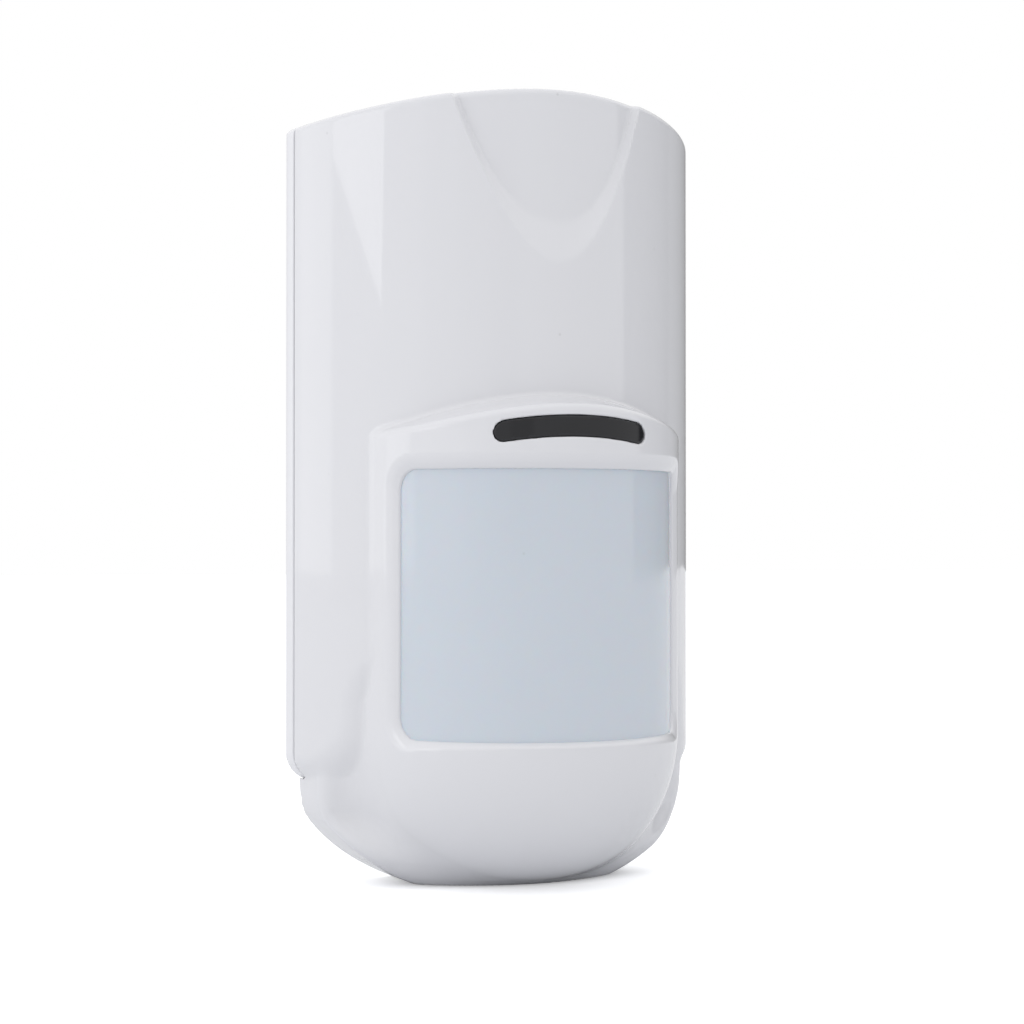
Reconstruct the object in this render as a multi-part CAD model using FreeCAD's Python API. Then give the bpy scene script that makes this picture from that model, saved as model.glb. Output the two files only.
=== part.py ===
"""Wall-mounted passive infrared motion sensor, millimetres.

X runs to the right as seen from the front, +Y runs into the wall and +Z is up.
The origin is the centre of the wall face, half way up the case.
"""
import FreeCAD, Part
import math
import os

V = FreeCAD.Vector

# ---- driving dimensions -------------------------------------------------------------------
case_width = 69.0
case_height = 122.0
body_depth = 30.0          # wall to the front of the upper body
hood_depth = 37.2          # wall to the front of the hood that carries the lens
hood_radius = 26.1
wall = 2.0                 # moulding thickness of cover and base
side_power = 1.85          # the plan outline is a superellipse with these two powers
front_power = 1.44
top_drop = 4.1             # how much lower the top edge is at the sides than in the middle

seam_depth = 2.4           # depth of the base's rim
seam_gap = 0.1
top_z = case_height / 2
bottom_z = -case_height / 2
body_end_z = -45.8         # lower end of the body's two side cheeks
body_end_round = 11.0
body_corner_round = 4.5

hood_top_z = 14.2
hood_arch = 0.0086         # drop of the hood's top edge per square millimetre of x
hood_slope = 2.0           # drop of the hood's top from the body to the hood's face
bowl_start_z = -34.0       # below this the hood rounds in to the bowl
bowl_power = 2.5
foot_half_width = 32.1     # flange of the bowl against the wall
foot_start_z = -45.0
foot_depth = 10.0
foot_draft = 3.2           # the flange is this much narrower at its front
wall_gap = 0.3             # the bowl's rim stays this far off the wall

lens_half_width = 22.9
lens_top_z = 2.8
lens_bottom_z = -38.0
lens_corner = 4.2
lens_radius = 25.0         # outer face of the lens, about the hood's axis
lens_thickness = 0.7
lens_margin = 1.9          # lens edge held behind the cover

window_z = 9.25            # LED window
window_half_length = 12.3
window_height = 3.3
window_flange = 1.0

board_half_width = 24.0
board_top_z = 44.0
board_bottom_z = -42.0
board_back_y = -8.0
board_thickness = 1.6
board_face_y = board_back_y - board_thickness
board_screw_places = [(-20.5, 31.0), (20.5, 31.0), (0.0, -38.5)]

pyro_z = -14.0
led_places = [-8.0, 0.0, 8.0]
terminal_count = 8
terminal_pitch = 3.81
terminal_z = 39.2
wall_hole_radius = 2.1
wall_hole_places = [51.0, -50.0]
cable_hole_radius = 4.0
cable_hole_place = (20.0, 47.5)
hook_places = [-12.0, 12.0]
hook_width = 6.0
lock_y = -6.5

hood_axis_y = -(hood_depth - hood_radius)
half_width = case_width / 2

parts = {}


# ---- small helpers ------------------------------------------------------------------------
def block(x0, x1, y0, y1, z0, z1):
    return Part.makeBox(x1 - x0, y1 - y0, z1 - z0, V(x0, y0, z0))


def rod_y(x, z, radius, y0, y1):
    """Round bar along Y from y0 back to y1 (y0 < y1)."""
    return Part.makeCylinder(radius, y1 - y0, V(x, y0, z), V(0, 1, 0))


def rod_z(x, y, radius, z0, z1):
    return Part.makeCylinder(radius, z1 - z0, V(x, y, z0), V(0, 0, 1))


def tube_y(x, z, outer, inner, y0, y1):
    return rod_y(x, z, outer, y0, y1).cut(rod_y(x, z, inner, y0 - 1, y1 + 1))


def upright_shell(outer, inner, z0, z1):
    """Front half of a round wall about the hood's axis."""
    ring = rod_z(0, hood_axis_y, outer, z0, z1).cut(rod_z(0, hood_axis_y, inner, z0 - 1, z1 + 1))
    return ring.common(block(-outer, outer, hood_axis_y - outer, hood_axis_y, z0, z1))


def join(shapes):
    whole = shapes[0]
    for shape in shapes[1:]:
        whole = whole.fuse(shape)
    return whole.removeSplitter()


def group(shapes):
    return Part.makeCompound(shapes)


def spline(points):
    curve = Part.BSplineCurve()
    curve.interpolate(points)
    return curve.toShape()


def prism_y(wire, y0, y1):
    """Solid between y0 and y1 of a closed wire drawn at y = 0."""
    wire = wire.copy()
    wire.translate(V(0, y0, 0))
    return Part.Face(wire).extrude(V(0, y1 - y0, 0))


def line(a, b):
    return Part.LineSegment(a, b).toShape()


def arc(a, b, c):
    return Part.Arc(a, b, c).toShape()


def rounded_rectangle(half_x, z0, z1, radius):
    """Closed wire at y = 0 with four round corners."""
    bend = radius * (1 - math.sqrt(0.5))
    edges = []
    corners = [(half_x, z1, -1, -1), (-half_x, z1, 1, -1), (-half_x, z0, 1, 1), (half_x, z0, -1, 1)]
    ends = []
    for x, z, sx, sz in corners:
        on_side = V(x, 0, z + sz * radius)
        on_end = V(x + sx * radius, 0, z)
        middle = V(x + sx * bend, 0, z + sz * bend)
        first, last = (on_side, on_end) if sx * sz > 0 else (on_end, on_side)
        edges.append(arc(first, middle, last))
        ends.append((first, last))
    for index in range(4):
        edges.append(line(ends[index][1], ends[(index + 1) % 4][0]))
    return Part.Wire(Part.__sortEdges__(edges))


# ---- the outer form, drawn once and drawn again smaller for the hollow ---------------------
def plan_prism(inset):
    """Upright prism of the body's plan outline, standing on the wall plane."""
    across = half_width - inset
    depth = body_depth - inset
    points = []
    for step in range(25):
        angle = math.pi * (step / 24 - 0.5)
        side = math.copysign(abs(math.sin(angle)) ** (2 / side_power), math.sin(angle))
        front = abs(math.cos(angle)) ** (2 / front_power) if 0 < step < 24 else 0.0
        points.append(V(across * side, -depth * front, bottom_z))
    outline = Part.Wire([spline(points), line(points[-1], points[0])])
    return Part.Face(outline).extrude(V(0, 0, 2 * case_height))


def body_outline(inset):
    """Front outline of the body: arched top edge and two round lower corners."""
    side = half_width + 1 - inset
    edge_drop = top_drop * (side / half_width) ** 2
    shoulder = V(side, 0, top_z - inset - edge_drop)
    end = body_end_z + inset
    corner = body_corner_round
    rise = corner * (1 - math.sqrt(0.5))
    low_side = half_width - inset
    edges = [arc(V(-side, 0, shoulder.z), V(0, 0, top_z - inset), shoulder)]
    edges.append(line(shoulder, V(side, 0, end + corner)))
    edges.append(line(V(side, 0, end + corner), V(low_side, 0, end + corner)))
    edges.append(arc(V(low_side, 0, end + corner), V(low_side - rise, 0, end + rise),
                     V(low_side - corner, 0, end)))
    edges.append(line(V(low_side - corner, 0, end), V(corner - low_side, 0, end)))
    edges.append(arc(V(corner - low_side, 0, end), V(rise - low_side, 0, end + rise),
                     V(-low_side, 0, end + corner)))
    edges.append(line(V(-low_side, 0, end + corner), V(-side, 0, end + corner)))
    edges.append(line(V(-side, 0, end + corner), V(-side, 0, shoulder.z)))
    return Part.Wire(Part.__sortEdges__(edges))


def body_solid(inset):
    """Upper body: the plan prism, cut by its front outline and rounded off at its lower end."""
    radius = body_end_round
    end = body_end_z + inset
    turn_y = -5.0 - inset
    edges = []
    far = V(-40, 2, end)
    start = V(-40, turn_y, end)
    middle = V(-40, turn_y - radius * math.sqrt(0.5), end + radius * (1 - math.sqrt(0.5)))
    stop = V(-40, turn_y - radius, end + radius)
    corners = [stop, V(-40, -40, end + radius), V(-40, -40, top_z + 5), V(-40, 2, top_z + 5), far]
    edges.append(line(far, start))
    edges.append(arc(start, middle, stop))
    for a, b in zip(corners, corners[1:]):
        edges.append(line(a, b))
    side_form = Part.Face(Part.Wire(Part.__sortEdges__(edges))).extrude(V(80, 0, 0))
    front_form = prism_y(body_outline(inset), -body_depth - 5, 0)
    return plan_prism(inset).common(front_form).common(side_form)


def bowl_half_width(z, inset):
    """Half width of the hood, constant above the bowl and closing in below it."""
    height = bowl_start_z - bottom_z + 0.6 - inset
    fall = min(max((bowl_start_z - z) / height, 0.0), 1.0)
    return (hood_radius - inset) * (1 - fall ** bowl_power) ** (1 / bowl_power)


def hood_solid(inset):
    """Hood and bowl: turned about the hood's axis in front, straight back to the wall behind."""
    lowest = bottom_z - 0.6 + inset
    points = []
    for step in range(13):
        fall = 1 - (1 - step / 12) ** 2
        z = bowl_start_z + (lowest - bowl_start_z) * fall
        points.append(V(bowl_half_width(z, inset), hood_axis_y, z))
    points[-1] = V(0, hood_axis_y, lowest)
    crown = hood_top_z + 6
    edges = [spline(points)]
    edges.append(line(points[-1], V(0, hood_axis_y, crown)))
    edges.append(line(V(0, hood_axis_y, crown), V(points[0].x, hood_axis_y, crown)))
    edges.append(line(V(points[0].x, hood_axis_y, crown), points[0]))
    half = Part.Face(Part.Wire(Part.__sortEdges__(edges)))
    turned = half.revolve(V(0, hood_axis_y, 0), V(0, 0, 1), -180)
    straight = half.extrude(V(0, -hood_axis_y, 0))
    other = straight.mirror(V(0, 0, 0), V(1, 0, 0))
    form = turned.fuse([straight, other])
    return form.common(hood_roof(inset))


def arch_wire(y, crown):
    """Closed front outline with an arched top, reaching below the case."""
    side = half_width + 4
    shoulder = crown - hood_arch * side ** 2
    low = bottom_z - 5
    edges = [arc(V(-side, y, shoulder), V(0, y, crown), V(side, y, shoulder))]
    edges.append(line(V(side, y, shoulder), V(side, y, low)))
    edges.append(line(V(side, y, low), V(-side, y, low)))
    edges.append(line(V(-side, y, low), V(-side, y, shoulder)))
    return Part.Wire(edges)


def hood_roof(inset):
    """Space under the hood's arched top, which slopes down towards the front."""
    reach = hood_depth + 2
    fall = hood_slope * (reach - body_depth) / (hood_depth - body_depth)
    back = arch_wire(-body_depth, hood_top_z - inset)
    front = arch_wire(-reach, hood_top_z - inset - fall)
    sloped = Part.makeLoft([back, front], True, True)
    level = Part.Face(back).extrude(V(0, body_depth, 0))
    return sloped.fuse(level)


def foot_wire(y, inset, draft):
    """Outline of the bowl's flange at one depth."""
    side = foot_half_width - inset - draft
    height = foot_start_z - bottom_z + 0.6 - inset
    points = []
    for step in range(17):
        angle = math.pi * (step / 16 - 0.5)
        x = math.copysign(abs(math.sin(angle)) ** (2 / 2.4), math.sin(angle)) * side
        points.append(V(x, y, foot_start_z - height * abs(math.cos(angle))))
    rise = V(0, 0, 14)
    edges = [spline(points), line(points[-1], points[-1] + rise)]
    edges.append(line(points[-1] + rise, points[0] + rise))
    edges.append(line(points[0] + rise, points[0]))
    return Part.Wire(edges)


def foot_solid(inset):
    front = foot_wire(inset - foot_depth, inset, foot_draft)
    return Part.makeLoft([foot_wire(0, inset, 0), front], True, True)


def case_form(inset):
    return join([body_solid(inset), hood_solid(inset), foot_solid(inset)])


# ---- cover --------------------------------------------------------------------------------
def lens_outline(margin):
    return rounded_rectangle(lens_half_width + margin, lens_bottom_z - margin,
                             lens_top_z + margin, lens_corner + margin)


def window_outline(grow):
    """Arched slot: two arcs parallel to the hood's top edge, joined by round ends."""
    half = window_half_length - window_height / 2
    rise = window_height / 2 + grow
    drop = hood_arch * half ** 2
    end_z = window_z - drop
    upper = [V(-half, 0, end_z + rise), V(0, 0, window_z + rise), V(half, 0, end_z + rise)]
    lower = [V(half, 0, end_z - rise), V(0, 0, window_z - rise), V(-half, 0, end_z - rise)]
    right = arc(upper[2], V(half + rise, 0, end_z), lower[0])
    left = arc(lower[2], V(-half - rise, 0, end_z), upper[0])
    return Part.Wire([arc(*upper), right, arc(*lower), left])


def scoop_wire(y, foot, gain, power):
    """U-shaped outline, open through the top edge of the body."""
    reach = 17.0
    points = []
    for step in range(-6, 7):
        x = reach * step / 6
        points.append(V(x, y, foot + gain * abs(x) ** power))
    rise = V(0, 0, 30)
    edges = [spline(points), line(points[-1], points[-1] + rise)]
    edges.append(line(points[-1] + rise, points[0] + rise))
    edges.append(line(points[0] + rise, points[0]))
    return Part.Wire(edges)


def scoop_cut():
    """Shallow finger recess in the top of the body, with a sloped wall round its floor."""
    floor = plan_prism(1.2)
    sides = Part.makeLoft([scoop_wire(-body_depth - 1, 34.4, 0.130, 1.92),
                           scoop_wire(-body_depth + 8, 40.8, 0.040, 2.3)], True, True)
    return sides.cut(floor)


def hook(x):
    """Tongue under the base's hook bar, with a lip that stands up behind the bar."""
    left, right = x - hook_width / 2, x + hook_width / 2
    tongue = block(left, right, -8.5, -0.35, 54.3, 55.5)
    lip = block(left, right, -1.25, -0.35, 54.3, 56.8)
    root = block(left, right, -8.5, -5.0, 54.3, 60.0)
    return join([tongue, lip, root])


def lock_boss():
    """Thick floor inside the bowl that the cover screw clamps."""
    return block(-7, 7, -11.0, -wall_gap, -59.8, -57.4)


def lock_notch():
    """Slot that is open towards the wall, so the cover lifts off the loosened screw."""
    shank = join([rod_z(0, lock_y, 1.7, -64, -56), block(-1.7, 1.7, lock_y, 1, -64, -56)])
    head = join([rod_z(0, lock_y, 3.4, -64, -59.4), block(-3.4, 3.4, lock_y, 1, -64, -59.4)])
    return shank.fuse(head)


def make_front_cover():
    cover = case_form(0).cut(case_form(wall))
    cover = cover.cut(block(-40, 40, -seam_depth - seam_gap, 1, body_end_z - 0.15, top_z + 5))
    cover = cover.cut(block(-40, 40, -wall_gap, 1, bottom_z - 5, top_z + 5))
    cover = cover.cut(scoop_cut())
    cover = cover.cut(prism_y(lens_outline(0), -hood_depth - 5, -17.5))
    rebate = upright_shell(lens_radius + 0.05, 20, lens_bottom_z - 5, lens_top_z + 5)
    cover = cover.cut(prism_y(lens_outline(lens_margin + 0.1), -hood_depth, -12).common(rebate))
    cover = cover.cut(prism_y(window_outline(0), -hood_depth - 5, -25))
    post = rod_y(19.0, 20.0, 2.0, -22.5, -17.6).common(case_form(0.5))
    boss = lock_boss().common(case_form(0.5))
    return join([cover, post, boss] + [hook(x) for x in hook_places]).cut(lock_notch())


def make_lens():
    shell = upright_shell(lens_radius, lens_radius - lens_thickness, lens_bottom_z - 5, lens_top_z + 5)
    return shell.common(prism_y(lens_outline(lens_margin), -hood_depth, -12))


def make_lens_retainer():
    outer = lens_radius - lens_thickness - 0.05
    shell = upright_shell(outer, outer - 1.2, lens_bottom_z - 5, lens_top_z + 5)
    frame = shell.common(prism_y(lens_outline(lens_margin), -hood_depth, -12))
    return frame.cut(prism_y(lens_outline(-1.2), -hood_depth, -10))


def make_led_window():
    front = upright_shell(hood_radius - 0.15, hood_radius - wall - 0.05, 0, 20)
    plug = front.common(prism_y(window_outline(-0.08), -hood_depth - 1, -25))
    back = upright_shell(hood_radius - wall - 0.05, hood_radius - wall - 1.1, 0, 20)
    flange = back.common(prism_y(window_outline(window_flange), -hood_depth - 1, -22))
    flange = flange.common(hood_roof(wall + 0.3))
    return join([plug, flange])


parts["front_cover"] = make_front_cover()
parts["fresnel_lens"] = make_lens()
parts["lens_retainer"] = make_lens_retainer()
parts["led_window"] = make_led_window()


# ---- rear base ----------------------------------------------------------------------------
def hook_bar(x):
    """Bar on two cheeks, in front of an opening that the cover's hook reaches through."""
    left, right = x - hook_width / 2 - 0.3, x + hook_width / 2 + 0.3
    bar = block(left - 1.2, right + 1.2, -4.5, -2.5, 56.2, 57.2)
    cheeks = [block(left - 1.2, left, -4.5, -1.0, 54.0, 57.2)]
    cheeks.append(block(right, right + 1.2, -4.5, -1.0, 54.0, 57.2))
    opening = block(left, right, -2.5, 1, 52.5, 58.6)
    return join([bar] + cheeks), opening


def board_post(x, z):
    post = rod_y(x, z, 3.2, board_back_y, -wall)
    pilot = rod_y(x, z, 1.2, board_back_y - 1, -wall)
    return post, pilot


def lock_lug():
    """Block in the bowl that the cover screw threads into from below."""
    lug = block(-5.5, 5.5, -10.0, -wall, -57.2, -53.5)
    pilot = rod_z(0, lock_y, 1.2, -58, -53.0)
    return lug, pilot


def make_rear_base():
    form = plan_prism(0).common(prism_y(body_outline(0), -seam_depth, 0))
    hollow = plan_prism(wall - 0.2).common(prism_y(body_outline(wall - 0.2), -seam_depth - 1, -wall))
    lobe = Part.Face(foot_wire(0, wall + 0.4, 0.8)).extrude(V(0, -wall, 0))
    lock_room = block(-7.4, 7.4, -wall - 1, 1, bottom_z - 5, -57.2)
    base = join([form.cut(hollow), lobe.cut(lock_room)])
    for x, z in board_screw_places:
        post, pilot = board_post(x, z)
        base = base.fuse(post).cut(pilot)
    lug, pilot = lock_lug()
    base = base.fuse(lug).cut(pilot)
    for side in (-1, 1):
        rib = block(side * 25.5 - 0.6, side * 25.5 + 0.6, -7.6, -wall, -30, 26)
        base = base.fuse(rib)
    for x in hook_places:
        bar, opening = hook_bar(x)
        base = base.cut(opening).fuse(bar)
    for z in wall_hole_places:
        base = base.cut(rod_y(0, z, wall_hole_radius, -5, 1))
    base = base.cut(rod_y(cable_hole_place[0], cable_hole_place[1], cable_hole_radius, -5, 1))
    return base.removeSplitter()


parts["rear_base"] = make_rear_base()


# ---- cover lock ---------------------------------------------------------------------------
def make_cover_screw():
    head = rod_z(0, lock_y, 2.7, -61.3, -60.0)
    shank = rod_z(0, lock_y, 1.15, -60.0, -53.8)
    recess = join([block(-1.6, 1.6, lock_y - 0.35, lock_y + 0.35, -61.4, -60.6),
                   block(-0.35, 0.35, lock_y - 1.6, lock_y + 1.6, -61.4, -60.6)])
    return join([head, shank]).cut(recess)


def make_lock_washer():
    disc = rod_z(0, lock_y, 2.9, -59.95, -59.55)
    return disc.cut(rod_z(0, lock_y, 1.2, -61, -59))


parts["cover_screw"] = make_cover_screw()
parts["lock_washer"] = make_lock_washer()


# ---- circuit board and what is soldered on it -----------------------------------------------
def make_circuit_board():
    cut = 9.0
    corners = [(-board_half_width, board_top_z), (board_half_width, board_top_z),
               (board_half_width, board_bottom_z + cut), (board_half_width - cut, board_bottom_z),
               (cut - board_half_width, board_bottom_z), (-board_half_width, board_bottom_z + cut)]
    points = [V(x, 0, z) for x, z in corners]
    wire = Part.makePolygon(points + [points[0]])
    board = prism_y(wire, board_face_y, board_back_y)
    for x, z in board_screw_places:
        board = board.cut(rod_y(x, z, 1.6, board_face_y - 1, board_back_y + 1))
    return board


def make_board_screw(x, z):
    head = rod_y(x, z, 2.7, board_face_y - 1.8, board_face_y)
    shank = rod_y(x, z, 1.18, board_face_y, board_back_y + 4.5)
    slots = join([block(x - 1.7, x + 1.7, board_face_y - 2, board_face_y - 1, z - 0.35, z + 0.35),
                  block(x - 0.35, x + 0.35, board_face_y - 2, board_face_y - 1, z - 1.7, z + 1.7)])
    return join([head, shank]).cut(slots)


def make_pyro_can():
    """Metal sensor can with a flange and a rectangular opening in its face."""
    back = board_face_y - 0.6
    flange = rod_y(0, pyro_z, 4.6, back - 0.5, back)
    can = rod_y(0, pyro_z, 4.1, back - 4.2, back - 0.5)
    opening = block(-1.5, 1.5, back - 5, back - 3.6, pyro_z - 2.0, pyro_z + 2.0)
    return join([flange, can]).cut(opening)


def make_pyro_filter():
    back = board_face_y - 0.6
    return block(-1.45, 1.45, back - 4.1, back - 3.65, pyro_z - 1.95, pyro_z + 1.95)


def make_pyro_leads():
    """Three wires that stand the can on the board."""
    leads = []
    for angle in (90, 210, 330):
        x = 2.3 * math.cos(math.radians(angle))
        z = pyro_z + 2.3 * math.sin(math.radians(angle))
        leads.append(rod_y(x, z, 0.22, board_face_y - 0.6, board_face_y))
    return group(leads)


def make_pyro_guard():
    """Soft collar that keeps insects and draught off the sensor can."""
    collar = tube_y(0, pyro_z, 7.0, 4.9, board_face_y - 3.6, board_face_y)
    skirt = tube_y(0, pyro_z, 8.2, 6.5, board_face_y - 1.0, board_face_y)
    return join([collar, skirt])


def make_led_spacer(x):
    post = rod_y(x, window_z, 2.3, -27.0, board_face_y)
    foot = block(x - 2.6, x + 2.6, board_face_y - 1.2, board_face_y, window_z - 2.6, window_z + 2.6)
    return join([post, foot])


def make_led(x):
    flange = rod_y(x, window_z, 1.9, -28.0, -27.0)
    barrel = rod_y(x, window_z, 1.5, -30.9, -28.0)
    dome = Part.makeSphere(1.5, V(x, -30.9, window_z))
    return join([flange, barrel, dome])


parts["circuit_board"] = make_circuit_board()
parts["board_screws"] = group([make_board_screw(x, z) for x, z in board_screw_places])
parts["pyro_can"] = make_pyro_can()
parts["pyro_filter"] = make_pyro_filter()
parts["pyro_leads"] = make_pyro_leads()
parts["pyro_guard"] = make_pyro_guard()
parts["led_spacers"] = group([make_led_spacer(x) for x in led_places])
for colour, place in zip(("green", "red", "amber"), led_places):
    parts[f"{colour}_led"] = make_led(place)


# ---- terminal block -----------------------------------------------------------------------
terminal_face_y = board_face_y - 8.6
terminal_xs = [terminal_pitch * (n - (terminal_count - 1) / 2) for n in range(terminal_count)]


def make_terminal_block():
    half = terminal_pitch * terminal_count / 2
    body = block(-half, half, terminal_face_y, board_face_y, terminal_z - 3.7, terminal_z + 3.7)
    for x in terminal_xs:
        body = body.cut(rod_y(x, terminal_z - 0.6, 1.35, terminal_face_y - 1, terminal_face_y + 2.2))
        body = body.cut(block(x - 1.3, x + 1.3, board_face_y - 5.4, board_face_y - 2.6,
                              terminal_z - 2.6, terminal_z + 5))
    return body


def make_terminal_clamp(x):
    """Small wire box that the screw pulls closed."""
    cage = block(x - 1.2, x + 1.2, board_face_y - 5.3, board_face_y - 2.7,
                 terminal_z - 2.5, terminal_z + 1.5)
    return cage.cut(block(x - 0.8, x + 0.8, board_face_y - 4.9, board_face_y - 3.1,
                          terminal_z - 3, terminal_z + 2))


def make_terminal_screw(x):
    z = terminal_z - 0.6
    head = rod_y(x, z, 1.3, terminal_face_y + 0.5, terminal_face_y + 2.1)
    slot = block(x - 1.4, x + 1.4, terminal_face_y, terminal_face_y + 1.1, z - 0.2, z + 0.2)
    return head.cut(slot)


parts["terminal_block"] = make_terminal_block()
parts["terminal_clamps"] = group([make_terminal_clamp(x) for x in terminal_xs])
parts["terminal_screws"] = group([make_terminal_screw(x) for x in terminal_xs])


# ---- tamper switch: its plunger is held in by the cover's post -------------------------------
tamper_x, tamper_z = 19.0, 20.0
tamper_tip_y = -17.5
tamper_body_y = board_face_y - 3.4


def make_tamper_body():
    body = block(tamper_x - 3, tamper_x + 3, tamper_body_y, board_face_y, tamper_z - 3, tamper_z + 3)
    return body.cut(rod_y(tamper_x, tamper_z, 1.35, tamper_body_y - 1, board_face_y - 0.6))


def make_tamper_plunger():
    stem = rod_y(tamper_x, tamper_z, 1.3, tamper_tip_y, board_face_y - 0.7)
    cap = rod_y(tamper_x, tamper_z, 2.4, tamper_tip_y, tamper_tip_y + 0.8)
    return join([stem, cap])


def make_tamper_spring():
    """Compression spring between the switch body and the plunger's cap, of straight chords."""
    turns, per_turn, radius, wire = 3.5, 10, 1.85, 0.22
    start = tamper_tip_y + 0.8 + 0.25
    length = tamper_body_y - start - 0.25
    path = []
    for step in range(int(turns * per_turn) + 1):
        angle = 2 * math.pi * step / per_turn
        y = start + length * step / (turns * per_turn)
        path.append(V(tamper_x + radius * math.cos(angle), y, tamper_z + radius * math.sin(angle)))
    ring = []
    for corner in range(8):
        angle = 2 * math.pi * (corner + 0.5) / 8
        ring.append(path[0] + V(wire * math.cos(angle), wire * math.sin(angle), 0))
    section = Part.makePolygon(ring + [ring[0]])
    return Part.makePolygon(path).makePipeShell([section], True, True, 1)


parts["tamper_body"] = make_tamper_body()
parts["tamper_plunger"] = make_tamper_plunger()
parts["tamper_spring"] = make_tamper_spring()


# ---- setting switches and sensitivity trimmer ------------------------------------------------
dip_x, dip_z = -13.5, 24.0
dip_pitch = 2.54
dip_travel = 1.6
dip_face_y = board_face_y - 3.0
dip_xs = [dip_x + dip_pitch * n for n in (-1, 0, 1)]
trimmer_x, trimmer_z = -16.5, 11.5


def make_dip_block():
    half = 1.5 * dip_pitch + 0.6
    body = block(dip_x - half, dip_x + half, dip_face_y, board_face_y, dip_z - 3.4, dip_z + 3.4)
    for x in dip_xs:
        body = body.cut(block(x - 0.75, x + 0.75, dip_face_y - 1, dip_face_y + 1.4,
                              dip_z - 1.6, dip_z + 1.6))
    return body


def make_dip_lever(x):
    """Slider at the lower end of its slot, where the switch is off."""
    z0 = dip_z - 1.5
    foot = block(x - 0.68, x + 0.68, dip_face_y + 0.3, dip_face_y + 1.35, z0, z0 + 1.35)
    grip = block(x - 0.45, x + 0.45, dip_face_y - 0.7, dip_face_y + 0.3, z0 + 0.1, z0 + 1.25)
    return join([foot, grip])


def make_trimmer_body():
    body = block(trimmer_x - 3.3, trimmer_x + 3.3, board_face_y - 3.2, board_face_y,
                 trimmer_z - 3.3, trimmer_z + 3.3)
    return body.cut(rod_y(trimmer_x, trimmer_z, 2.3, board_face_y - 4, board_face_y - 1.4))


def make_trimmer_rotor():
    disc = rod_y(trimmer_x, trimmer_z, 2.25, board_face_y - 3.6, board_face_y - 1.45)
    slot = block(trimmer_x - 2.4, trimmer_x + 1.2, board_face_y - 4, board_face_y - 2.9,
                 trimmer_z - 0.35, trimmer_z + 0.35)
    return disc.cut(slot)


parts["dip_block"] = make_dip_block()
for number, x in enumerate(dip_xs, start=1):
    parts[f"dip_lever_{number}"] = make_dip_lever(x)
parts["trimmer_body"] = make_trimmer_body()
parts["trimmer_rotor"] = make_trimmer_rotor()


# ---- other soldered parts -------------------------------------------------------------------
def make_relay():
    case = block(-5, 15, board_face_y - 6.0, board_face_y - 0.3, 25.5, 33.0)
    case = case.makeFillet(0.5, case.Edges)
    feet = [block(x - 0.3, x + 0.3, board_face_y - 0.4, board_face_y, z - 0.3, z + 0.3)
            for x in (-3, 13) for z in (26.5, 32.0)]
    return join([case] + feet)


def make_chip(x, z, half_x, half_z, height, legs):
    """Moulded chip with gull-wing legs along its two long sides."""
    body = block(x - half_x, x + half_x, board_face_y - height, board_face_y - 0.15, z - half_z, z + half_z)
    notch = rod_y(x - half_x, z, 0.8, board_face_y - height - 1, board_face_y - height + 0.3)
    chip = body.cut(notch)
    pitch = 2 * half_x / legs
    for n in range(legs):
        lx = x + pitch * (n - (legs - 1) / 2)
        for side in (-1, 1):
            inner, outer = sorted((z + side * (half_z - 0.1), z + side * (half_z + 1.3)))
            chip = chip.fuse(block(lx - 0.2, lx + 0.2, board_face_y - 0.3, board_face_y, inner, outer))
            near, far = sorted((z + side * (half_z - 0.1), z + side * (half_z + 0.35)))
            chip = chip.fuse(block(lx - 0.2, lx + 0.2, board_face_y - 1.2, board_face_y - 0.2, near, far))
    return chip.removeSplitter()


def make_capacitor(x, z, radius, height):
    can = rod_y(x, z, radius, board_face_y - height, board_face_y - 0.6)
    foot = rod_y(x, z, radius - 0.5, board_face_y - 0.6, board_face_y)
    score = join([block(x - radius, x + radius, board_face_y - height - 1, board_face_y - height + 0.15,
                        z - 0.12, z + 0.12),
                  block(x - 0.12, x + 0.12, board_face_y - height - 1, board_face_y - height + 0.15,
                        z - radius, z + radius)])
    return join([can, foot]).cut(score)


def make_chip_resistors():
    """Rows of small soldered chips round the sensor's amplifier."""
    chips = []
    for column in range(6):
        for row in range(2):
            x = -17.5 + 3.0 * column + (20.0 if column > 2 else 0.0)
            z = -24.0 - 4.0 * row
            chips.append(block(x - 1.0, x + 1.0, board_face_y - 0.6, board_face_y, z - 0.62, z + 0.62))
    return group(chips)


jumper_xs = (16.8, 19.3)
jumper_pin_length = 3.9


def make_jumper():
    """Two-pin header for the link that sets the pulse count."""
    top = board_face_y - 2.5
    pins = [block(x - 0.32, x + 0.32, top - jumper_pin_length, top, -0.32, 0.32) for x in jumper_xs]
    return join([block(15.5, 20.6, top, board_face_y, -1.3, 1.3)] + pins)


def make_jumper_cap():
    """Link that pulls off the two pins."""
    foot = board_face_y - 2.6
    cap = block(15.6, 20.5, foot - jumper_pin_length - 0.5, foot, -1.2, 1.2)
    for x in jumper_xs:
        cap = cap.cut(block(x - 0.34, x + 0.34, foot - jumper_pin_length - 0.05, foot + 1, -0.34, 0.34))
    return cap


parts["alarm_relay"] = make_relay()
parts["microcontroller"] = make_chip(0.0, -28.5, 6.4, 3.75, 2.4, 10)
parts["amplifier_chip"] = make_chip(-14.0, -11.0, 2.5, 2.0, 1.6, 4)
parts["filter_capacitors"] = group([make_capacitor(-17.5, -1.5, 3.15, 7.0),
                                    make_capacitor(14.5, -9.0, 2.5, 6.0),
                                    make_capacitor(14.5, -16.0, 2.5, 6.0)])
parts["chip_resistors"] = make_chip_resistors()
parts["jumper_pins"] = make_jumper()
parts["jumper_cap"] = make_jumper_cap()

os.makedirs("parts", exist_ok=True)
for name, shape in parts.items():
    shape.exportStep(f"parts/{name}.step")
    print(name, len(shape.Solids), round(shape.Volume, 1), shape.isValid())
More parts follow.
